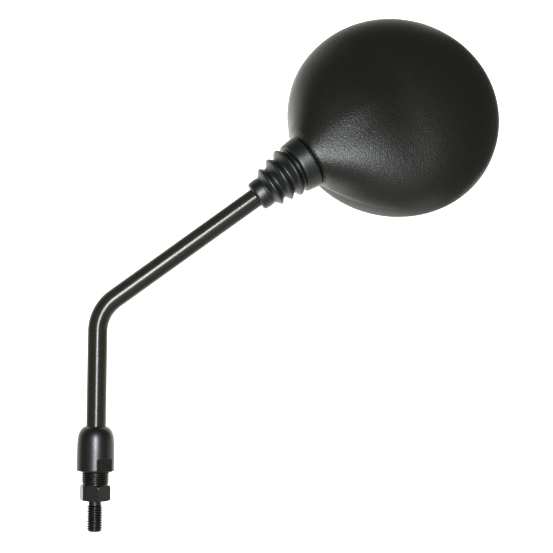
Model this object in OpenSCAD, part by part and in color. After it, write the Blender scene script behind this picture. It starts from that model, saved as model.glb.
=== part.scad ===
// Round rear-view mirror on a bent stem. Millimetres, +Z up.
// The origin is on the stud's axis, in the face of the hexagon that seats on
// the handlebar clamp. +X is the side that the arm leans to, -Y is the side
// that the shell's domed back faces.

/* [Threaded base] */
// Thread diameter of the mounting stud
stud_d = 8; // [8]
// Length of the stud below the hexagon
stud_len = 15.5; // [12:0.5:22]
// Diameter of the relief neck under the hexagon
relief_d = 6.5; // [6:0.1:7]
// Height of the relief neck
relief_h = 2.1; // [1:0.1:2.5]
// Width of the hexagon across its flats
hex_af = 14; // [14:1:16]
// Height of the hexagon
hex_h = 8; // [6:0.5:9]
// Turn of the hexagon about the stud's axis
hex_turn = -18.5; // [-30:0.5:30]
// Diameter of the thread that takes the clamp nut
post_d = 14; // [14]
// Height of the stem's seat above the hexagon's lower face
seat_z = 24; // [22:0.5:26]

/* [Clamp nut] */
// Height of the nut's lower face
nut_z = 14.8; // [14:0.1:15.5]
// Height of the nut
nut_h = 22.3; // [21:0.1:23]
// Largest diameter of the nut
nut_d = 19; // [18.6:0.1:20]
// Width across the two wrench flats
nut_af = 17; // [16.5:0.1:17.5]
// Height of the wrench flats
nut_flat_h = 6.5; // [4:0.1:7]
// Turn of the flats about the stud's axis
nut_turn = -58; // [-90:1:90]
// Clearance on the nut's thread
nut_gap = 0.05; // [0.03:0.01:0.08]

/* [Stem] */
// Outer diameter of the stem tube
stem_d = 10; // [10]
// Wall of the stem tube
stem_wall = 1.5; // [1.2:0.1:1.8]
// Height where the stem's two straight centre lines meet
corner_z = 95; // [85:1:120]
// Rise of the arm above the horizontal
arm_rise = 36.6; // [34:0.2:40]
// Centre-line radius of the bend
bend_r = 20.5; // [18:0.5:25]
// Distance along the arm from the corner to the ball's centre
ball_dist = 127; // [115:1:150]

/* [Ball joint] */
// Diameter of the ball
ball_d = 15; // [15]
// Diameter of the neck behind the ball
neck_d = 7; // [6:0.2:7]
// Clearance between the ball and its seats
seat_gap = 0.05; // [0.03:0.01:0.08]
// Bore of the pocket that holds the seats
pocket_d = 19; // [19]
// Outer diameter of the shell's spigot
spigot_d = 24.4; // [24:0.1:24.8]
// Opening of the spigot's mouth
mouth_d = 14; // [13.6:0.1:14.2]

/* [Boot] */
// Wall of the bellows
boot_wall = 1.3; // [1:0.1:1.5]
// Radius of the three ribs, from the stem to the head
rib_r = [10.6, 11.8, 13.0];
// Radius of the grooves before, between and after the ribs
groove_r = [7.7, 9.0, 10.15, 11.4];
// Distance of each rib from the ball's centre
rib_at = [20.6, 14.5, 9.2];
// Distance of each groove from the ball's centre
groove_at = [23.4, 17.8, 11.9, 6.6];

/* [Head] */
// Outer diameter of the shell at its rim
head_d = 110; // [106:1:114]
// Height of the dome above the rim
dome_h = 31; // [30:0.5:34]
// Roundness of the dome, 2 being an ellipse
dome_n = 2.3; // [2.1:0.05:2.4]
// Depth of the straight band at the rim
rim_h = 3; // [3:0.1:3.6]
// Wall of the shell
shell_wall = 2.3; // [2:0.1:2.6]
// Distance from the ball's centre to the shell's axis
head_off = 59; // [58:0.5:61]
// Height of the ball's centre above the rim
ball_h = 14.9; // [14.8:0.1:15.2]
// Compass turn of the neck towards the back
neck_yaw = 14.6; // [10:0.2:20]
// Rise of the neck above the horizontal
neck_rise = 31.9; // [28:0.2:36]
// Roll of the head about its neck
head_roll = 63.1; // [55:0.2:70]
// Outer radius of the nose that carries the joint
nose_r = 14.3; // [14.1:0.1:14.5]
// Radius that the glass is curved to
glass_curve = 1400; // [1000:100:2000]
// Thickness of the glass
glass_t = 2; // [1.8:0.1:2.2]

/* [Hidden] */
$fn = 96;
ball_r = ball_d / 2;
pocket_r = pocket_d / 2;
head_r = head_d / 2;
defl = 90 - arm_rise;
bend_t = bend_r * tan(defl / 2);
collar_h = 4;
disc_t = 0.8;
tube_z = seat_z + disc_t;
tube_end = 10.5;
arm_u = [cos(arm_rise), 0, sin(arm_rise)];
ball_c = [0, 0, corner_z] + ball_dist * arm_u;
neck_u = [cos(neck_yaw) * cos(neck_rise), sin(neck_yaw) * cos(neck_rise), sin(neck_rise)];
tilt_axis = cross(arm_u, neck_u);
tilt_rest = acos(arm_u * neck_u);
mouth_x = -5.6;
shoulder_x = -4.2;
nose_x = 2.7;
pocket_x = 15;
glass_r = head_r - 3.2;
ledge_z = 1;

// a ring from radius a to radius b, standing on height z
module ring(a, b, z, h) {
    translate([0, 0, z]) difference() {
        cylinder(r = b, h = h);
        translate([0, 0, -1]) cylinder(r = a, h = h + 2);
    }
}

// frame at the ball's centre with +Z along the arm, turned by a share f of
// the joint's bend, so f = 0 is the stem and f = 1 is the head's neck
module joint_frame(f = 0) {
    translate(ball_c) rotate(a = f * tilt_rest, v = tilt_axis)
        rotate([0, 90 - arm_rise, 0]) children();
}

// frame of the head: +X along the neck into the head, +Z out of the dome
module head_frame() {
    translate(ball_c) rotate([head_roll, -neck_rise, neck_yaw]) children();
}

// the neck's axis as +Z, in the frame of the head
module neck_axis() {
    head_frame() rotate([0, 90, 0]) children();
}

// the shell's own axis, with the rim at height 0
module shell_axis() {
    head_frame() translate([head_off, 0, -ball_h]) children();
}

// meridian of the dome from the rim to the pole
function dome(r, h, n = dome_n, steps = 22) =
    [for (i = [0:steps]) let (a = 90 * i / steps)
        [r * pow(cos(a), 2 / n) * (i == steps ? 0 : 1), h * pow(sin(a), 2 / n)]];

// share of the bend that the boot has taken at distance d from the ball
function share(d) =
    let (x = min(1, max(0, (groove_at[0] - d) / (groove_at[0] - groove_at[3]))))
    x * x * (3 - 2 * x);

// radius of the clamp nut at depth d under its top
function nut_r(d) = nut_d / 2 - 3.5 * exp(-d / 2.7);

module base_adapter() {
    color([0.09, 0.09, 0.09]) {
        // stud, with a chamfered tip and a relief neck
        rotate_extrude() polygon([
            [0, -stud_len], [stud_d / 2 - 1, -stud_len],
            [stud_d / 2, -stud_len + 1], [stud_d / 2, -relief_h - 0.4],
            [relief_d / 2, -relief_h], [relief_d / 2, 0.5], [0, 0.5]
        ]);
        // hexagon, with its corners turned off at both ends
        intersection() {
            rotate([0, 0, hex_turn])
                cylinder(d = hex_af / cos(30), h = hex_h, $fn = 6);
            rotate_extrude() polygon([
                [0, 0], [hex_af / 2, 0],
                [hex_af / 2 + 1.4, 1.4 * tan(30)],
                [hex_af / 2 + 1.4, hex_h - 1.4 * tan(30)],
                [hex_af / 2, hex_h], [0, hex_h]
            ]);
        }
        // post for the clamp nut, with the stem's seat on top
        rotate_extrude() polygon([
            [0, hex_h - 0.5], [post_d / 2, hex_h - 0.5],
            [post_d / 2, seat_z - 0.6], [post_d / 2 - 0.6, seat_z], [0, seat_z]
        ]);
    }
}

module friction_disc(z) {
    color([0.35, 0.3, 0.22]) ring(stem_d / 2 + 0.15, 6.5, z, disc_t);
}
module friction_disc_lower() { friction_disc(seat_z); }
module friction_disc_upper() { friction_disc(seat_z + disc_t + collar_h); }

module stem_ferrule() {
    color([0.12, 0.12, 0.12]) ring(stem_d / 2, 6.5, tube_z, collar_h);
}

// the bend alone, at radius r, running one degree into both lengths; it is a
// hair wider than they are, as a tube is where it has been bent
module stem_bend(r) {
    translate([bend_r, 0, corner_z - bend_t]) rotate([90, 0, 0])
        rotate([0, 0, 179 - defl]) rotate_extrude(angle = defl + 2)
            translate([bend_r, 0]) circle(r = r + 0.02);
}

// a round bar at radius r through both straight lengths, with overrun g
module stem_bars(r, g = 0) {
    translate([0, 0, tube_z - g]) cylinder(r = r, h = corner_z - bend_t - tube_z + g);
    joint_frame() translate([0, 0, bend_t - ball_dist])
        cylinder(r = r, h = ball_dist - bend_t - tube_end + g);
}

module stem_tube() {
    color([0.05, 0.05, 0.05]) difference() {
        union() {
            stem_bars(stem_d / 2);
            stem_bend(stem_d / 2);
        }
        stem_bars(stem_d / 2 - stem_wall, 1);
        stem_bend(stem_d / 2 - stem_wall);
    }
}

module thrust_washer() {
    color([0.6, 0.6, 0.6])
        ring(stem_d / 2 + 0.3, 6.9, seat_z + 2 * disc_t + collar_h, 1);
}

module clamp_nut() {
    top = nut_z + nut_h;
    shoulder = seat_z + 2 * disc_t + collar_h + 1;
    bore = post_d / 2 + nut_gap;
    color([0.08, 0.08, 0.08]) difference() {
        rotate_extrude() polygon(concat(
            [[0, nut_z], [nut_d / 2 - 0.4, nut_z], [nut_d / 2, nut_z + 0.4]],
            [for (i = [0:12]) let (d = 14 * pow(1 - i / 12, 1.6))
                [nut_r(d), top - d]],
            [[0, top]]
        ));
        // thread, with a lead-in at its mouth
        translate([0, 0, nut_z - 1]) cylinder(r = bore, h = shoulder - nut_z + 1);
        translate([0, 0, nut_z - 1]) cylinder(r1 = bore + 1.5, r2 = bore, h = 1.5);
        // hole that the stem passes through
        translate([0, 0, shoulder - 1]) cylinder(r = stem_d / 2 + 0.3, h = top - shoulder + 3);
        // two wrench flats
        for (a = [0, 180]) rotate([0, 0, nut_turn + a])
            translate([nut_af / 2, -nut_d, nut_z - 1])
                cube([nut_d, 2 * nut_d, nut_flat_h + 1]);
    }
}

module ball_stud() {
    color([0.62, 0.62, 0.64]) joint_frame() {
        sphere(r = ball_r);
        rotate_extrude() polygon([
            [0, -24], [stem_d / 2 - stem_wall - 0.8, -24],
            [stem_d / 2 - stem_wall, -23.2],
            [stem_d / 2 - stem_wall, -tube_end],
            [stem_d / 2, -tube_end], [stem_d / 2, -9.2],
            [stem_d / 2 - 0.3, -9], [neck_d / 2, -9],
            [neck_d / 2, -5], [0, -5]
        ]);
    }
}

// one rib of the bellows, from groove i to groove i + 1
module rib(i) {
    w = boot_wall;
    g0 = groove_r[i];
    g1 = groove_r[i + 1];
    z0 = -groove_at[i];
    z1 = -groove_at[i + 1];
    zc = -rib_at[i];
    c = rib_r[i];
    joint_frame(share(rib_at[i])) rotate_extrude() polygon([
        [g0 - w, z0 - 0.8], [g0, z0 - 0.8], [g0, z0 + 0.3],
        [c - 0.7, zc - 1.3], [c, zc - 0.5], [c, zc + 0.5], [c - 0.7, zc + 1.3],
        [g1, z1 - 0.3], [g1, z1 + 0.8], [g1 - w, z1 + 0.8],
        [g1 - w, z1 - 0.3 - w / 2], [c - w, zc + 0.7], [c - w, zc - 0.7],
        [g0 - w, z0 + 0.3 + w / 2]
    ]);
}

module rubber_boot() {
    bore = stem_d / 2 + 0.05;
    fit = spigot_d / 2 + 0.1;
    w = boot_wall;
    color([0.11, 0.11, 0.11]) {
        // collar on the stem
        joint_frame(0) rotate_extrude() polygon([
            [bore, -29.7], [bore + 1.1, -29.7], [7.9, -28.6], [7.9, -24.2],
            [groove_r[0], -23.6], [groove_r[0], -22.8],
            [groove_r[0] - w, -22.8], [groove_r[0] - w, -23.6], [bore, -24.4]
        ]);
        for (i = [0:2]) rib(i);
        // collar on the shell's spigot
        joint_frame(1) rotate_extrude() polygon([
            [groove_r[3] - w, -7.2], [groove_r[3], -7.2], [groove_r[3], -6.4],
            [13.0, -5.5], [13.75, -4.6], [14.0, -3], [14.3, 0], [14.3, 1.2],
            [13.9, 1.7], [fit, 1.7], [fit, mouth_x - 0.1],
            [groove_r[3] - w, mouth_x - 0.1]
        ]);
    }
}

// spherical seat around the ball, between two planes across the neck
module seat(z0, z1) {
    neck_axis() difference() {
        translate([0, 0, z0]) cylinder(r = pocket_r - 0.1, h = z1 - z0);
        sphere(r = ball_r + seat_gap);
    }
}
module seat_front() { color([0.85, 0.85, 0.8]) seat(shoulder_x + 0.05, -0.15); }
module seat_back() { color([0.85, 0.85, 0.8]) seat(0.15, 6.5); }

module pressure_ring() {
    color([0.6, 0.6, 0.6]) neck_axis() ring(4.2, pocket_r - 0.2, 6.5, 1.5);
}

// coned spring washer from height z, its wide edge first or last
module disc_spring(z, wide_first) {
    t = 0.6;
    h = 0.9;
    a = wide_first ? h : 0;
    b = wide_first ? 0 : h;
    neck_axis() translate([0, 0, z]) rotate_extrude() polygon([
        [4.8, a], [pocket_r - 0.3, b], [pocket_r - 0.3, b + t], [4.8, a + t]
    ]);
}
module disc_spring_front() { color([0.45, 0.45, 0.48]) disc_spring(8, true); }
module disc_spring_back() { color([0.45, 0.45, 0.48]) disc_spring(9.5, false); }

module preload_plug() {
    color([0.7, 0.68, 0.6]) neck_axis() difference() {
        translate([0, 0, 11]) cylinder(r = pocket_r, h = pocket_x - 11);
        translate([0, 0, 10]) cylinder(r = 3.5, h = 8);
        // two holes for a pin spanner
        for (s = [-1, 1]) translate([0, 6.4 * s, 12.5]) cylinder(r = 1.2, h = 4);
    }
}

module head_shell() {
    color([0.14, 0.14, 0.14]) difference() {
        union() {
            difference() {
                union() {
                    // dome with the straight band of its rim
                    shell_axis() rotate_extrude() polygon(concat(
                        [[0, -rim_h], [head_r - 0.7, -rim_h], [head_r, -rim_h + 0.7]],
                        dome(head_r, dome_h)
                    ));
                    // nose that runs from the neck into the dome
                    neck_axis() rotate_extrude() polygon([
                        [0, nose_x], [nose_r - 0.5, nose_x], [nose_r, nose_x + 0.5],
                        [nose_r - 0.3, 20], [12.4, 30], [9, 38], [0, 42]
                    ]);
                }
                // hollow of the dome
                shell_axis() translate([0, 0, ledge_z + 1.2]) rotate_extrude()
                    polygon(concat([[0, 0]], dome(head_r - shell_wall, dome_h - shell_wall - ledge_z - 1.2)));
                // hollow of the nose
                neck_axis() rotate_extrude() polygon([
                    [0, pocket_x - 1], [nose_r - 2.3, pocket_x - 1],
                    [nose_r - 2.6, 20], [10.1, 30], [6, 36], [0, 37]
                ]);
                // opening for the glass, with a ledge behind it
                shell_axis() translate([0, 0, ledge_z - 10]) cylinder(r = head_r - 2, h = 10);
                shell_axis() translate([0, 0, -1]) cylinder(r = head_r - 5, h = 4);
            }
            // spigot and joint housing
            neck_axis() rotate_extrude() polygon([
                [0, mouth_x], [spigot_d / 2 - 0.5, mouth_x],
                [spigot_d / 2, mouth_x + 0.5], [spigot_d / 2, 1.8],
                [13.7, 1.8], [13.7, nose_x + 0.2], [spigot_d / 2, nose_x + 0.2],
                [spigot_d / 2, pocket_x], [0, pocket_x]
            ]);
        }
        // pocket for the seats, and the mouth that the neck swings in
        neck_axis() translate([0, 0, shoulder_x]) cylinder(r = pocket_r, h = pocket_x - shoulder_x + 1);
        neck_axis() translate([0, 0, mouth_x - 1]) cylinder(r = mouth_d / 2, h = 4);
    }
}

module glass_pad() {
    color([0.3, 0.3, 0.3]) shell_axis() translate([0, 0, -0.2])
        cylinder(r = head_r - 3.3, h = ledge_z + 0.2);
}

module mirror_glass() {
    sag = function (r) r * r / (2 * glass_curve);
    color([0.75, 0.8, 0.85]) shell_axis() rotate_extrude() polygon(concat(
        [[0, -0.2]],
        [for (i = [0:10]) let (r = glass_r * i / 10)
            [r, -0.2 - glass_t - sag(glass_r) + sag(r)]],
        [[glass_r, -0.2]]
    ));
}

module glass_gasket() {
    o = head_r - 2;
    color([0.1, 0.1, 0.1]) shell_axis() rotate_extrude() polygon([
        [glass_r, -0.2 - glass_t], [glass_r - 1.1, -0.24 - glass_t],
        [glass_r - 1.1, -0.7 - glass_t], [o - 0.5, -0.9 - glass_t],
        [o, -0.6 - glass_t], [o, ledge_z - 0.05], [glass_r, ledge_z - 0.05]
    ]);
}

base_adapter();
friction_disc_lower();
friction_disc_upper();
stem_ferrule();
stem_tube();
thrust_washer();
clamp_nut();
ball_stud();
rubber_boot();
seat_front();
seat_back();
pressure_ring();
disc_spring_front();
disc_spring_back();
preload_plug();
head_shell();
glass_pad();
mirror_glass();
glass_gasket();
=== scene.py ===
import math

import bmesh
import bpy
import numpy as np
from mathutils import Matrix, Vector


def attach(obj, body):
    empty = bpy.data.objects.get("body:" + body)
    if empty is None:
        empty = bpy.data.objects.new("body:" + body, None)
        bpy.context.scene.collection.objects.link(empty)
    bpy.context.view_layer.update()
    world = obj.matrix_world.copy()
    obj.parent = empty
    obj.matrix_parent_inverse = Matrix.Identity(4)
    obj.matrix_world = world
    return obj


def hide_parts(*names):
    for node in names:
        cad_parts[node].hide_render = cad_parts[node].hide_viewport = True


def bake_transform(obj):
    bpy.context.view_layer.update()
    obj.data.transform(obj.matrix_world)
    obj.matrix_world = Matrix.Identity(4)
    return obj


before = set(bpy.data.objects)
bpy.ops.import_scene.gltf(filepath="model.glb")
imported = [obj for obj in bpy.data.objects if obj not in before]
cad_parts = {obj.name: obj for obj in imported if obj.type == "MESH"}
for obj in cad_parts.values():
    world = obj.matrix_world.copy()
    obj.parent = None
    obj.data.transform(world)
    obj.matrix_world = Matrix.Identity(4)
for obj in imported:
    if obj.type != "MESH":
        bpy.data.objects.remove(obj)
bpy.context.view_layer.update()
scene = bpy.context.scene
MM = 0.001
TAU = 2 * math.pi

# ---------------------------------------------------------------- frames, mm
ARM_RISE = math.radians(36.6)
CORNER_Z = 95.0
BALL_DIST = 127.0
BEND_R = 20.5
DEFL = math.radians(90 - 36.6)
BEND_T = BEND_R * math.tan(DEFL / 2)
NECK_YAW, NECK_RISE, HEAD_ROLL = (math.radians(v) for v in (14.6, 31.9, 63.1))
HEAD_R, DOME_H, DOME_N, RIM_H = 55.0, 31.0, 2.3, 3.0
HEAD_OFF, BALL_H = 59.0, 14.9
NOSE_R, NOSE_END = 14.25, 46.0  # the nose's radius, and where it has run into the dome


def rot(axis, angle):
    return np.array(Matrix.Rotation(angle, 3, axis))


arm_u = np.array([math.cos(ARM_RISE), 0, math.sin(ARM_RISE)])
ball = np.array([0, 0, CORNER_Z]) + BALL_DIST * arm_u
R_ARM = rot("Y", DEFL)
R_HEAD = rot("Z", NECK_YAW) @ rot("Y", -NECK_RISE) @ rot("X", HEAD_ROLL)
neck_u = R_HEAD[:, 0]
tilt_axis = np.cross(arm_u, neck_u)
REST_BEND = math.asin(np.linalg.norm(tilt_axis))
tilt_axis /= np.linalg.norm(tilt_axis)


def base_xf(p):
    return p


def arm_xf(p):
    """Local z along the arm, from the ball's centre."""
    return p @ R_ARM.T + ball


def neck_xf(p):
    """Local z along the neck into the head, from the ball's centre."""
    return np.stack([-p[:, 2] * 0 + p[:, 2], p[:, 1], -p[:, 0]], 1) @ R_HEAD.T + ball


def shell_xf(p):
    """Local z along the shell's axis out of the dome, from the rim's centre."""
    return (p + [HEAD_OFF, 0, -BALL_H]) @ R_HEAD.T + ball


def share(d):
    x = np.clip((23.4 - d) / (23.4 - 6.6), 0, 1)
    return x * x * (3 - 2 * x)


def boot_xf(p):
    """Local z along the boot, bent round the ball by its share of the bend."""
    q = p @ R_ARM.T
    a = share(-p[:, 2]) * REST_BEND
    k = tilt_axis
    c, s = np.cos(a)[:, None], np.sin(a)[:, None]
    return q * c + np.cross(k, q) * s + np.outer(q @ k, k) * (1 - c) + ball


# ------------------------------------------------------------ mesh builders
def new_object(name, verts, faces, sharp=38.0):
    me = bpy.data.meshes.new(name)
    me.from_pydata((np.asarray(verts, float) * MM).tolist(), [], faces)
    me.validate()
    bm = bmesh.new()
    bm.from_mesh(me)
    bmesh.ops.remove_doubles(bm, verts=bm.verts, dist=1e-7)
    bmesh.ops.recalc_face_normals(bm, faces=bm.faces)
    bm.to_mesh(me)
    bm.free()
    me.shade_smooth()
    me.set_sharp_from_angle(angle=math.radians(sharp))
    ob = bpy.data.objects.new(name, me)
    scene.collection.objects.link(ob)
    return ob


def rows_mesh(rows, theta, xf, closed, wrap=None):
    """rows of (radius, height), each a number or one value per angle. Closed rows
    make a ring; open ones end in a point on the axis. wrap gives for each row the
    row that it meets again after one turn, which a thread climbs to."""
    n = len(theta)
    c, s = np.cos(theta), np.sin(theta)
    verts, faces = [], []
    for r, z in rows:
        r = np.broadcast_to(np.asarray(r, float), (n,))
        z = np.broadcast_to(np.asarray(z, float), (n,))
        verts.append(np.stack([r * c, r * s, z], 1))
    m = len(rows)
    pts = np.concatenate(verts)
    wrap = wrap or list(range(m))
    for i in range(m if closed else m - 1):
        a, b = i * n, ((i + 1) % m) * n
        for j in range(n - 1):
            faces.append((a + j, a + j + 1, b + j + 1, b + j))
        faces.append((a + n - 1, wrap[i] * n, wrap[(i + 1) % m] * n, b + n - 1))
    if not closed:
        ends = []
        for i in (0, m - 1):
            ends.append([0, 0, float(np.mean(verts[i][:, 2]))])
        pts = np.concatenate([pts, np.array(ends)])
        e0, e1 = m * n, m * n + 1
        a = (m - 1) * n
        for j in range(n):
            k = (j + 1) % n
            faces.append((e0, k, j))
            faces.append((e1, a + j, a + k))
    return xf(pts), faces


def fillet(points, radius, closed=True, steps=4):
    """Rounds the corners of a profile. radius is one number, or one per corner."""
    p = [np.array(q[:2], float) for q in points]
    n = len(p)
    rad = [radius] * n if np.isscalar(radius) else list(radius)
    out = []
    for i in range(n):
        if not closed and i in (0, n - 1) or rad[i] <= 0:
            out.append(p[i])
            continue
        a, b, c = p[i - 1], p[i], p[(i + 1) % n]
        la, lc = np.linalg.norm(a - b), np.linalg.norm(c - b)
        if la < 1e-9 or lc < 1e-9:
            out.append(b)
            continue
        u, v = (a - b) / la, (c - b) / lc
        cosang = float(np.clip(u @ v, -1, 1))
        ang = math.acos(cosang)
        if ang > math.radians(176):
            out.append(b)
            continue
        t = min(rad[i] / math.tan(ang / 2), la * 0.49, lc * 0.49)
        r = t * math.tan(ang / 2)
        bis = (u + v) / np.linalg.norm(u + v)
        cen = b + bis * (r / math.sin(ang / 2))
        s, e = b + u * t - cen, b + v * t - cen
        a0, a1 = math.atan2(s[1], s[0]), math.atan2(e[1], e[0])
        d = (a1 - a0 + math.pi) % TAU - math.pi
        for k in range(steps + 1):
            w = a0 + d * k / steps
            out.append(cen + r * np.array([math.cos(w), math.sin(w)]))
    return out


def lathe(name, profile, xf, seg=96, closed=True, sharp=38.0):
    theta = np.arange(seg) * TAU / seg
    v, f = rows_mesh([(q[0], q[1]) for q in profile], theta, xf, closed)
    return new_object(name, v, f, sharp)


def join_parts(name, parts, sharp=38.0):
    verts, faces, off = [], [], 0
    for v, f in parts:
        verts.append(v)
        faces += [tuple(i + off for i in q) for q in f]
        off += len(v)
    return new_object(name, np.concatenate(verts), faces, sharp)


# -------------------------------------------------------------- base adapter
def smooth01(x):
    x = np.clip(x, 0, 1)
    return x * x * (3 - 2 * x)


def add_thread(rows, wrap, theta, z_lo, z_hi, pitch, root, crest, fade, cap):
    """Rows that climb with the thread, so that its crests run true."""
    m = 12
    first = len(rows)
    last = first + int(math.ceil((z_hi - z_lo) / pitch * m)) + m
    for i in range(last - first + 1):
        z = np.clip(z_lo + pitch * ((i - m) / m + (theta - theta[0]) / TAU), z_lo, z_hi)
        tri = abs((i / m) % 1.0 - 0.5) * 2
        w = float(smooth01((0.9 - tri) / (0.9 - 0.18)))
        r = root + (crest - root) * w * fade(z)
        rows.append((np.minimum(r, cap(z)), z))
        wrap.append(min(first + i + m, last))


def make_adapter():
    theta = np.radians(1.5 + 2 * np.arange(180))
    rows = [(2.2, -15.5), (2.9, -15.48), (3.05, -15.42)]
    wrap = [0, 1, 2]
    # stud thread, which runs out before the relief neck
    add_thread(rows, wrap, theta, -15.4, -1.8, 1.25, 3.22, 4.0,
               lambda z: smooth01((-2.0 - z) / 0.9),
               lambda z: 3.05 + (z + 15.42) / math.tan(math.radians(42)))
    rows += [(3.23, -1.7), (3.25, -0.5), (3.27, -0.25), (3.4, -0.05), (3.6, 0.0)]
    # hexagon
    half = math.radians(30)
    facet = math.radians(11.5)
    rh = 7.0 / np.cos((theta - facet + half) % (2 * half) - half)
    for z in (0.0, 0.06, 0.14, 0.22, 0.3, 0.38, 0.46, 0.54, 0.62, 0.72, 2.5, 4, 5.5):
        rows.append((np.minimum(rh, 6.9 + z / math.tan(math.radians(30))), z))
    for z in (7.28, 7.38, 7.46, 7.54, 7.62, 7.7, 7.78, 7.86, 7.94, 8.0):
        rows.append((np.minimum(rh, 6.9 + (8 - z) / math.tan(math.radians(30))), z))
    rows += [(6.5, 8.0), (6.42, 8.06), (6.4, 8.3)]
    wrap += range(len(wrap), len(rows))
    # thread for the clamp nut
    add_thread(rows, wrap, theta, 8.4, 23.6, 1.0, 6.4, 7.0,
               lambda z: smooth01((z - 8.4) / 0.8),
               lambda z: 6.42 + (24.0 - z))
    rows += [(6.42, 23.9), (6.3, 24.0), (3.0, 24.0)]
    wrap += range(len(wrap), len(rows))
    v, f = rows_mesh(rows, theta, base_xf, False, wrap)
    return new_object("base_adapter_turned", v, f, 50)


# ----------------------------------------------------------------- clamp nut
def make_nut():
    theta = np.radians(1.0 + 2 * np.arange(180))
    top = 37.1
    flat = math.radians(-58)
    cosd = np.cos((theta - flat + math.pi / 2) % math.pi - math.pi / 2)
    rf = 8.5 / np.maximum(cosd, 1e-3)

    def body(z):
        d = top - z
        return 9.5 - 3.5 * math.exp(-d / 2.7)

    rows = []
    for r, z in ((8.55, 14.8), (9.1, 14.8), (9.3, 14.88), (9.42, 15.02), (9.5, 15.25)):
        rows.append((np.minimum(r, rf + (0.0 if z > 14.9 else -0.12)), z))
    for z in (16, 17, 18, 19, 20, 20.6):
        rows.append((np.minimum(body(z), rf), z))
    # the flats end in a shoulder that a cutter leaves
    for z, k in ((21.0, 0.0), (21.22, 0.06), (21.3, 0.2), (21.32, 0.6), (21.36, 1.5)):
        rows.append((np.minimum(body(z), rf + k), z))
    for z in np.concatenate([np.arange(21.8, 30, 0.75), np.arange(30, 36.7, 0.3)]):
        rows.append((body(z), z))
    rows += [(6.25, 36.8), (6.02, 36.97), (5.8, 37.07), (5.62, 37.1), (5.42, 37.04), (5.32, 36.9)]
    rows += [(5.3, 36.5), (5.3, 30.6), (7.05, 30.6)]
    for z in np.arange(30.4, 15.4, -0.6):
        rows.append((7.05, z))
    rows += [(7.05, 15.35), (7.6, 14.9), (7.8, 14.8)]
    v, f = rows_mesh(rows, theta, base_xf, True)
    return new_object("clamp_nut_turned", v, f, 32)


# ----------------------------------------------------------------- stem tube
def make_stem():
    seg = 72
    a = np.arange(seg) * TAU / seg
    path = []  # (centre, tangent angle from vertical)
    z0, z1 = 24.8, CORNER_Z - BEND_T
    for z in np.linspace(z0, z1, 12):
        path.append((np.array([0, 0, z]), 0.0))
    for k in range(1, 29):
        w = DEFL * k / 28
        c = np.array([BEND_R * (1 - math.cos(w)), 0, z1 + BEND_R * math.sin(w)])
        path.append((c, w))
    s0 = BEND_T
    corner = np.array([0, 0, CORNER_Z])
    for s in np.linspace(s0, BALL_DIST - 10.5, 16)[1:]:
        path.append((corner + arm_u * s, DEFL))

    def ring(c, w, r):
        ex = np.array([math.cos(w), 0, -math.sin(w)])
        return c + r * (np.outer(np.cos(a), ex) + np.outer(np.sin(a), [0, 1, 0]))

    rings = []
    first, last = path[0], path[-1]
    rings.append(ring(first[0], 0.0, 4.75))
    rings.append(ring(first[0] + [0, 0, 0.07], 0.0, 4.93))
    rings.append(ring(first[0] + [0, 0, 0.25], 0.0, 5.0))
    for c, w in path[1:-1]:
        rings.append(ring(c, w, 5.0))
    t = arm_u
    rings.append(ring(last[0] - 0.25 * t, DEFL, 5.0))
    rings.append(ring(last[0] - 0.07 * t, DEFL, 4.93))
    rings.append(ring(last[0], DEFL, 4.75))
    rings.append(ring(last[0], DEFL, 3.5))
    for c, w in reversed(path[1:-1]):
        rings.append(ring(c, w, 3.5))
    rings.append(ring(first[0], 0.0, 3.5))
    n, m = seg, len(rings)
    faces = []
    for i in range(m):
        p, q = i * n, ((i + 1) % m) * n
        for j in range(n):
            k = (j + 1) % n
            faces.append((p + j, p + k, q + k, q + j))
    return new_object("stem_tube_bent", np.concatenate(rings), faces, 38)


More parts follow.
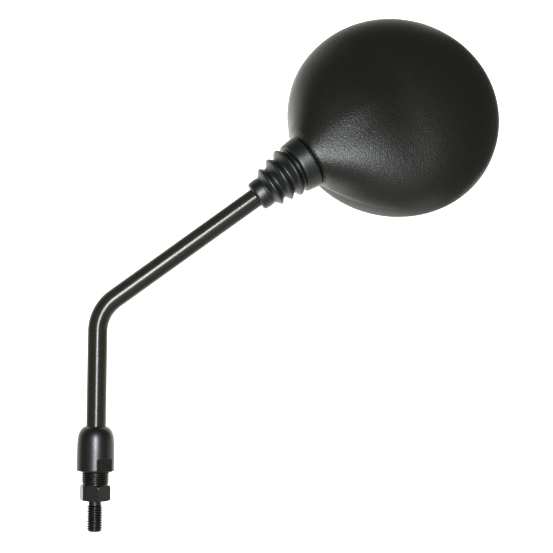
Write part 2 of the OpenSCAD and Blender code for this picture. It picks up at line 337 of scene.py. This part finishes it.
# --------------------------------------------------------------- rubber boot
def make_boot():
    # outer profile, (radius, distance before the ball), from the stem to the head
    knots = [
        (5.05, 29.55), (5.9, 29.7), (6.7, 29.6), (7.35, 29.25), (7.68, 28.7),
        (7.82, 27.9), (7.9, 27.0), (7.93, 26.0), (7.94, 25.0), (7.92, 24.4), (7.84, 24.0),
    ]
    # three ribs, steep on the stem's side, between four grooves
    dips = [(7.7, 23.6), (8.85, 17.75), (10.0, 12.2), (10.75, 6.9)]
    tips = [(10.65, 20.4), (11.8, 14.85), (12.95, 9.45)]
    for i, (rt, dt) in enumerate(tips):
        (ra, da), (rb, db) = dips[i], dips[i + 1]
        knots.append((ra, da))
        for u, w in ((0.2, 0.1), (0.42, 0.33), (0.64, 0.68), (0.84, 0.93)):
            knots.append((ra + (rt - ra) * w, da + (dt - da) * u))
        knots.append((rt, dt))
        for u, w in ((0.16, 0.07), (0.38, 0.36), (0.6, 0.7), (0.82, 0.92)):
            knots.append((rt + (rb - rt) * w, dt + (db - dt) * u))
    knots += [
        (10.75, 6.9), (10.85, 6.55), (11.3, 6.25), (12.1, 6.0), (12.75, 5.65), (13.1, 5.2),
        (13.25, 4.6), (13.35, 4.0), (13.5, 3.0), (13.65, 2.0), (13.8, 1.0), (13.95, 0.0),
        (14.05, -0.7), (14.05, -1.15), (13.93, -1.5), (13.65, -1.68), (12.3, -1.7),
    ]
    # spline through the knots, so that the ribs are round
    k = np.array(knots)
    seglen = np.r_[0, np.cumsum(np.linalg.norm(np.diff(k, axis=0), axis=1))]
    t = np.linspace(0, seglen[-1], 230)

    def catmull(vals):
        out = []
        for x in t:
            i = min(max(int(np.searchsorted(seglen, x, side="right")) - 1, 0), len(k) - 2)
            h = seglen[i + 1] - seglen[i]
            u = (x - seglen[i]) / h
            p0, p1 = vals[i], vals[i + 1]
            m0 = (vals[i + 1] - vals[max(i - 1, 0)]) / (seglen[i + 1] - seglen[max(i - 1, 0)]) * h
            m1 = (vals[min(i + 2, len(k) - 1)] - vals[i]) / (seglen[min(i + 2, len(k) - 1)] - seglen[i]) * h
            out.append(
                (2 * u**3 - 3 * u**2 + 1) * p0 + (u**3 - 2 * u**2 + u) * m0
                + (-2 * u**3 + 3 * u**2) * p1 + (u**3 - u**2) * m1
            )
        return np.array(out)

    outer = list(zip(catmull(k[:, 0]), -catmull(k[:, 1])))
    inner = [
        (12.3, 5.3), (11.4, 5.6), (10.0, 5.9), (9.5, 6.8), (9.9, 7.7), (11.2, 8.5),
        (11.8, 9.2), (11.0, 10.2), (9.7, 11.4), (9.3, 12.4), (9.6, 13.3), (10.4, 14.2),
        (10.6, 14.8), (9.6, 15.8), (8.2, 17.0), (7.7, 17.9), (8.2, 18.9), (9.3, 19.8),
        (9.5, 20.3), (8.5, 21.4), (7.0, 22.6), (6.5, 23.6), (5.05, 24.4),
    ]
    rows = outer + [(r, -d) for r, d in inner]
    theta = np.arange(128) * TAU / 128
    v, f = rows_mesh(rows, theta, boot_xf, True)
    return new_object("rubber_boot_bellows", v, f, 60)


# ---------------------------------------------------------------- head shell
def dome_surface(phi, elev):
    """Distance from the rim's centre to the faired dome, along rays."""
    ce, se = np.cos(elev), np.sin(elev)
    d = np.stack([ce * np.cos(phi), ce * np.sin(phi), se], -1)

    def field(t):
        p = d * t[..., None]
        rho = np.hypot(p[..., 0], p[..., 1])
        z = np.maximum(p[..., 2], 0)
        R, H, n = HEAD_R - 0.02, DOME_H, DOME_N
        a, b = rho / R, z / H
        s = np.maximum(a**n + b**n, 1e-9)
        g = s ** (1 / n)
        gr = s ** (1 / n - 1) * a ** (n - 1) / R
        gz = s ** (1 / n - 1) * b ** (n - 1) / H
        fd = (g - 1) / np.maximum(np.hypot(gr, gz), 1e-6)
        # nose: a bar along the neck's axis that grows wider, rises and tapers out
        hx = p[..., 0] + HEAD_OFF
        t = np.maximum(hx - 3, -1)
        q = t / NOSE_END
        rn = NOSE_R * (1 - q * q)
        wide = 1 + 0.06 * t - 0.00043 * t * t
        rise = BALL_H + 0.2 * t + 0.0016 * t * t
        core = 6 * np.maximum(q, 0) ** 2  # keeps its vanishing end round
        fn = np.sqrt(((p[..., 1] - 0.04 * t) / wide) ** 2 + (p[..., 2] - rise) ** 2 + core**2) - rn
        # fairing between them, none at the rim
        k = (22.5 + 7 * smooth01((hx - 8) / 35)) * smooth01((hx - 1.0) / 4.5) + 0.01
        k = k * (1 - 0.3 * smooth01((4 - p[..., 1]) / 14))  # tighter below it
        k = k * smooth01(p[..., 2] / 8.4) + 0.01
        h = np.maximum(k - np.abs(fd - fn), 0) / k
        f = np.minimum(fd, fn) - h * h * h * k / 6
        # the nose is cut square where the boot's collar ends
        return np.maximum(f, (3.1 - hx))

    lo = np.full(phi.shape, 10.0)
    hi = np.full(phi.shape, 75.0)
    for _ in range(44):
        mid = (lo + hi) / 2
        out = field(mid) > 0
        hi = np.where(out, mid, hi)
        lo = np.where(out, lo, mid)
    return (lo + hi) / 2


def make_shell():
    n = 384
    s = np.arange(n) / n
    phi = TAU * s + 0.52 * np.sin(TAU * s)
    e1 = np.radians(np.linspace(0, 38, 92))
    e2 = np.radians(38 + 52 * (np.linspace(0, 1, 46)[1:-1]))
    elev = np.concatenate([e1, e2])
    P, E = np.meshgrid(phi, elev)
    t = dome_surface(P, E)
    rows = []
    # inside, from the pole of the hollow down to the ledge
    ri, hi = HEAD_R - 2.3, DOME_H - 2.3 - 2.2
    for a in np.linspace(88, 0, 20):
        c, q = math.cos(math.radians(a)), math.sin(math.radians(a))
        rows.append((ri * c ** (2 / DOME_N), 2.2 + hi * q ** (2 / DOME_N)))
    R = HEAD_R
    rows += [(R - 4.9, 2.2), (R - 5.0, 2.1), (R - 5.0, 1.1), (R - 4.9, 1.0),
             (R - 2.05, 1.0), (R - 2.0, 0.95), (R - 2.0, -2.6), (R - 1.88, -2.85),
             (R - 1.65, -3.0), (R - 0.9, -3.0), (R - 0.58, -2.94), (R - 0.36, -2.78),
             (R - 0.24, -2.5), (R - 0.17, -2.1), (R - 0.11, -1.6), (R - 0.07, -1.1),
             (R - 0.04, -0.6)]
    for i in range(len(elev)):
        rows.append((t[i] * np.cos(elev[i]), t[i] * np.sin(elev[i])))
    return rows_mesh(rows, phi, shell_xf, False)


def make_spigot():
    """Spigot, bead and the nose's square end, turned about the neck."""
    prof = [
        (7.0, -5.6), (11.7, -5.6), (12.2, -5.1), (12.2, 1.75), (12.4, 2.2),
        (13.2, 2.32), (13.85, 2.4), (14.12, 2.6), (14.15, 2.85), (13.95, 3.05),
        (13.6, 3.12), (13.6, 3.3), (14.0, 3.35), (14.0, 5.2), (13.0, 8.0),
        (12.2, 15.0), (9.5, 15.0), (9.5, -4.2), (7.0, -4.2),
    ]
    theta = np.arange(160) * TAU / 160
    return rows_mesh([(r, z) for r, z in prof], theta, neck_xf, True)


def make_head():
    return join_parts("head_shell_moulded", [make_shell(), make_spigot()], 42)


# --------------------------------------------------------- glass and gasket
def make_glass():
    rg, zb, tg, rc = 51.8, -0.2, 2.0, 1400.0
    prof = [(1.0, zb), (20, zb), (40, zb), (rg - 0.3, zb), (rg, zb - 0.3)]
    edge = zb - tg
    prof += [(rg, edge + 0.35), (rg - 0.12, edge + 0.1), (rg - 0.45, edge)]
    for r in np.linspace(rg - 1.4, 0.8, 34):
        prof.append((r, edge - (rg * rg - r * r) / (2 * rc)))
    return lathe("mirror_glass_convex", prof, shell_xf, 160, False)


def make_gasket():
    g, o, e = 51.8, 53.0, -2.2
    prof = fillet(
        [(g, e), (g - 1.1, e - 0.05), (g - 1.1, e - 0.45), (o - 0.45, e - 0.85),
         (o, e - 0.6), (o, 0.95), (g, 0.95)],
        [0.1, 0.15, 0.18, 0.3, 0.2, 0.1, 0.1],
    )
    return lathe("glass_gasket_ring", prof, shell_xf, 160, True, 50)


# ----------------------------------------------------------------- materials
def material(name, color, rough, spec=0.5, metallic=0.0, coat=0.0, coat_rough=0.05,
             grain=None, mottle=None, rough_var=None, peel=None):
    """A surface with its own grain. grain and peel are (scale, height in m, noise detail)."""
    mat = bpy.data.materials.new(name)
    mat.use_nodes = True
    nt = mat.node_tree
    nodes, links = nt.nodes, nt.links
    nodes.clear()
    out = nodes.new("ShaderNodeOutputMaterial")
    bs = nodes.new("ShaderNodeBsdfPrincipled")
    links.new(bs.outputs[0], out.inputs[0])
    bs.inputs["Base Color"].default_value = (*color, 1)
    bs.inputs["Roughness"].default_value = rough
    bs.inputs["Specular IOR Level"].default_value = spec
    bs.inputs["Metallic"].default_value = metallic
    bs.inputs["Coat Weight"].default_value = coat
    bs.inputs["Coat Roughness"].default_value = coat_rough
    tc = nodes.new("ShaderNodeTexCoord")
    if mottle:
        scale, amount = mottle
        nz = nodes.new("ShaderNodeTexNoise")
        nz.inputs["Scale"].default_value = scale
        nz.inputs["Detail"].default_value = 4
        links.new(tc.outputs["Object"], nz.inputs["Vector"])
        ramp = nodes.new("ShaderNodeValToRGB")
        lo = [max(0, c * (1 - amount)) for c in color]
        hi = [min(1, c * (1 + amount)) for c in color]
        ramp.color_ramp.elements[0].position = 0.3
        ramp.color_ramp.elements[0].color = (*lo, 1)
        ramp.color_ramp.elements[1].position = 0.7
        ramp.color_ramp.elements[1].color = (*hi, 1)
        links.new(nz.outputs["Fac"], ramp.inputs["Fac"])
        links.new(ramp.outputs["Color"], bs.inputs["Base Color"])
    if rough_var:
        scale, lo, hi = rough_var
        nz = nodes.new("ShaderNodeTexNoise")
        nz.inputs["Scale"].default_value = scale
        nz.inputs["Detail"].default_value = 3
        links.new(tc.outputs["Object"], nz.inputs["Vector"])
        mr = nodes.new("ShaderNodeMapRange")
        mr.inputs["From Min"].default_value = 0.3
        mr.inputs["From Max"].default_value = 0.7
        mr.inputs["To Min"].default_value = lo
        mr.inputs["To Max"].default_value = hi
        links.new(nz.outputs["Fac"], mr.inputs["Value"])
        links.new(mr.outputs["Result"], bs.inputs["Roughness"])
    last = None
    for kind in (peel, grain):
        if not kind:
            continue
        scale, height, detail = kind
        nz = nodes.new("ShaderNodeTexNoise")
        nz.inputs["Scale"].default_value = scale
        nz.inputs["Detail"].default_value = detail
        nz.inputs["Roughness"].default_value = 0.6
        links.new(tc.outputs["Object"], nz.inputs["Vector"])
        bp = nodes.new("ShaderNodeBump")
        bp.inputs["Strength"].default_value = 1.0
        bp.inputs["Distance"].default_value = height
        links.new(nz.outputs["Fac"], bp.inputs["Height"])
        if last:
            links.new(last.outputs["Normal"], bp.inputs["Normal"])
        last = bp
    if last:
        links.new(last.outputs["Normal"], bs.inputs["Normal"])
    return mat


M = {
    "shell": material("shell_plastic", (0.0046, 0.0047, 0.0024), 0.39, spec=0.52,
                      grain=(2600, 0.00004, 1), peel=(1200, 0.00017, 2),
                      mottle=(900, 0.2), rough_var=(1500, 0.35, 0.43)),
    "boot": material("boot_rubber", (0.0018, 0.0032, 0.0024), 0.4, spec=0.7,
                     grain=(1600, 0.00004, 3), mottle=(300, 0.2), rough_var=(500, 0.35, 0.43)),
    "stem": material("stem_paint", (0.0133, 0.0137, 0.0096), 0.3, spec=0.03, coat=0.65,
                     coat_rough=0.23, mottle=(200, 0.15), rough_var=(300, 0.25, 0.35)),
    "nut": material("nut_black", (0.0022, 0.0023, 0.0012), 0.355, spec=0.62,
                    grain=(1400, 0.00002, 3), mottle=(500, 0.25),
                    rough_var=(700, 0.335, 0.375)),
    "adapter": material("black_steel", (0.0034, 0.0035, 0.0027), 0.32, spec=0.5,
                        mottle=(900, 0.35), rough_var=(900, 0.29, 0.35)),
    "bright": material("bright_steel", (0.52, 0.53, 0.55), 0.28, metallic=1.0,
                       grain=(1500, 0.00001, 3), mottle=(400, 0.12), rough_var=(600, 0.22, 0.36)),
    "spring": material("spring_steel", (0.20, 0.22, 0.27), 0.33, metallic=1.0,
                       grain=(1500, 0.00001, 3), mottle=(300, 0.2), rough_var=(600, 0.26, 0.4)),
    "fibre": material("friction_fibre", (0.23, 0.17, 0.11), 0.8, spec=0.3,
                      grain=(1800, 0.00008, 5), mottle=(1200, 0.4)),
    "nylon": material("seat_nylon", (0.78, 0.77, 0.71), 0.45, spec=0.5,
                      grain=(1500, 0.00001, 3), mottle=(300, 0.05)),
    "foam": material("pad_foam", (0.05, 0.05, 0.05), 0.95, spec=0.2,
                     grain=(1500, 0.00015, 5), mottle=(1500, 0.5)),
    "mirror": material("mirror_face", (0.93, 0.94, 0.945), 0.02, metallic=1.0,
                       peel=(8, 0.0000004, 1), mottle=(20, 0.01)),
    "gasket": material("gasket_rubber", (0.018, 0.018, 0.018), 0.5, spec=0.5,
                       grain=(1600, 0.00002, 3), mottle=(300, 0.2)),
}


def dress(ob, mat):
    ob.data.materials.clear()
    ob.data.materials.append(M[mat])


# ------------------------------------------------------------------- pieces
def place(ob, body, node, mat):
    dress(ob, mat)
    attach(ob, body)
    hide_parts(node)


place(make_adapter(), "base", "base_adapter", "adapter")
place(make_nut(), "nut", "clamp_nut", "nut")
place(make_stem(), "stem", "stem_tube", "stem")
place(make_head(), "head", "head_shell", "shell")
place(make_glass(), "head", "mirror_glass", "mirror")
place(make_gasket(), "head", "glass_gasket", "gasket")

boot = make_boot()
dress(boot, "boot")
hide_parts("rubber_boot")
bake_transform(boot)

for node, mat in (
    ("friction_disc_lower", "fibre"), ("friction_disc_upper", "fibre"),
    ("stem_ferrule", "stem"), ("thrust_washer", "bright"), ("ball_stud", "bright"),
    ("seat_front", "nylon"), ("seat_back", "nylon"), ("pressure_ring", "bright"),
    ("disc_spring_front", "spring"), ("disc_spring_back", "spring"),
    ("preload_plug", "bright"), ("glass_pad", "foam"),
):
    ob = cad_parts[node]
    ob.data.materials.clear()
    ob.data.materials.append(M[mat])
    ob.data.shade_smooth()
    ob.data.set_sharp_from_angle(angle=math.radians(30))

# ------------------------------------------------------------------- camera
cam = bpy.data.cameras.new("camera")
cam.sensor_width = 36.0
cam.lens = 2192.78 * 36.0 / 553.0
cam.clip_start, cam.clip_end = 0.05, 50
cam_ob = bpy.data.objects.new("camera", cam)
right = Vector((0.99659284, -0.08083097, 0.01640353))
fwd = Vector((0.08084185, 0.99672694, 0.0))
up = right.cross(fwd).normalized()
rotm = Matrix((right, up, -fwd)).transposed()
cam_ob.matrix_world = Matrix.Translation((0.0, -1.1, 0.11347535)) @ rotm.to_4x4()
scene.collection.objects.link(cam_ob)
scene.camera = cam_ob

# -------------------------------------------------------------------- stage
FLOOR_Z = -0.2


def make_floor():
    prof = [(-3.0, 0.0), (1.4, 0.0)]
    for k in range(1, 17):
        a = math.pi / 2 * k / 16
        prof.append((1.4 + 0.4 * math.sin(a), 0.4 * (1 - math.cos(a))))
    prof.append((1.8, 1.6))
    verts, faces = [], []
    for y, z in prof:
        for x in (-2.6, 2.6):
            verts.append((x, y, z + FLOOR_Z))
    for i in range(len(prof) - 1):
        faces.append((2 * i, 2 * i + 1, 2 * i + 3, 2 * i + 2))
    me = bpy.data.meshes.new("studio_floor")
    me.from_pydata(verts, [], faces)
    me.shade_smooth()
    ob = bpy.data.objects.new("studio_floor", me)
    scene.collection.objects.link(ob)
    # white paper, with a painted pool of light on the upright part: an emission that is strongest near one
    # point and fades away from it, with no lamp behind it
    mat = bpy.data.materials.new("floor_paper_painted_glow")
    mat.use_nodes = True
    nt = mat.node_tree
    bs = nt.nodes["Principled BSDF"]
    bs.inputs["Base Color"].default_value = (0.45, 0.45, 0.435, 1)
    bs.inputs["Roughness"].default_value = 0.9
    bs.inputs["Specular IOR Level"].default_value = 0.1
    bs.inputs["Emission Color"].default_value = (1.0, 1.0, 0.95, 1)
    tc = nt.nodes.new("ShaderNodeTexCoord")
    dist = nt.nodes.new("ShaderNodeVectorMath")
    dist.operation = "DISTANCE"
    dist.inputs[1].default_value = (0.237, 1.8, 0.117)
    mr = nt.nodes.new("ShaderNodeMapRange")
    mr.interpolation_type = "SMOOTHSTEP"
    mr.inputs["From Min"].default_value = 0.63
    mr.inputs["From Max"].default_value = 1.24
    mr.inputs["To Min"].default_value = 1.6
    mr.inputs["To Max"].default_value = 0.06
    nt.links.new(tc.outputs["Object"], dist.inputs[0])
    nt.links.new(dist.outputs["Value"], mr.inputs["Value"])
    # the painted pool of light drives the paper's emission strength
    nt.links.new(mr.outputs["Result"], bs.inputs["Emission Strength"])
    me.materials.append(mat)
    return ob


make_floor()


def softbox(name, where, target, width, height, power, color):
    li = bpy.data.lights.new(name, "AREA")
    li.shape = "RECTANGLE"
    li.size, li.size_y = width, height
    li.energy = power
    li.color = color
    ob = bpy.data.objects.new(name, li)
    ob.location = where
    d = Vector(target) - Vector(where)
    ob.rotation_mode = "QUATERNION"
    ob.rotation_quaternion = d.to_track_quat("-Z", "Y")
    ob.visible_camera = False
    scene.collection.objects.link(ob)
    return ob


softbox("softbox_front", (-0.04, -1.2, 0.2), (0.06, 0, 0.11), 0.22, 0.6, 20.5, (0.96, 1.0, 1.04))
# a small card low on the right
softbox("panel_right", (0.24, 0.03, -0.02), (-1, 0.03, -0.02), 0.16, 0.16, 0.06, (1.0, 1.0, 0.95))
# bright panels close behind, brightest under the arm
for i, (x0, x1, z0, z1, rad) in enumerate((
    (-0.25, 0.195, -0.20, 0.30, 0.7), (-0.14, 0.17, -0.12, 0.24, 0.5), (-0.06, 0.15, -0.05, 0.19, 0.4),
)):
    w, h = x1 - x0, z1 - z0
    x, z, y = (x0 + x1) / 2, (z0 + z1) / 2, 0.065 + 0.004 * i
    softbox("panel_back_%d" % i, (x, y, z), (x, y - 1, z), w, h, rad * math.pi * w * h, (1.0, 1.0, 0.95))

world = bpy.data.worlds.new("studio")
scene.world = world
world.use_nodes = True
nt = world.node_tree
nt.nodes.clear()
wo = nt.nodes.new("ShaderNodeOutputWorld")
bg = nt.nodes.new("ShaderNodeBackground")
tc = nt.nodes.new("ShaderNodeTexCoord")
sep = nt.nodes.new("ShaderNodeSeparateXYZ")
mr = nt.nodes.new("ShaderNodeMapRange")
mr.interpolation_type = "SMOOTHSTEP"
mr.inputs["From Min"].default_value = -0.2
mr.inputs["From Max"].default_value = 0.5
mr.inputs["To Min"].default_value = 0.25
mr.inputs["To Max"].default_value = 0.14
nt.links.new(tc.outputs["Generated"], sep.inputs[0])
nt.links.new(sep.outputs["Z"], mr.inputs["Value"])
nt.links.new(mr.outputs["Result"], bg.inputs["Strength"])
bg.inputs["Color"].default_value = (0.98, 1.0, 0.84, 1)
nt.links.new(bg.outputs[0], wo.inputs[0])

scene.view_settings.view_transform = "Standard"
scene.view_settings.look = "None"
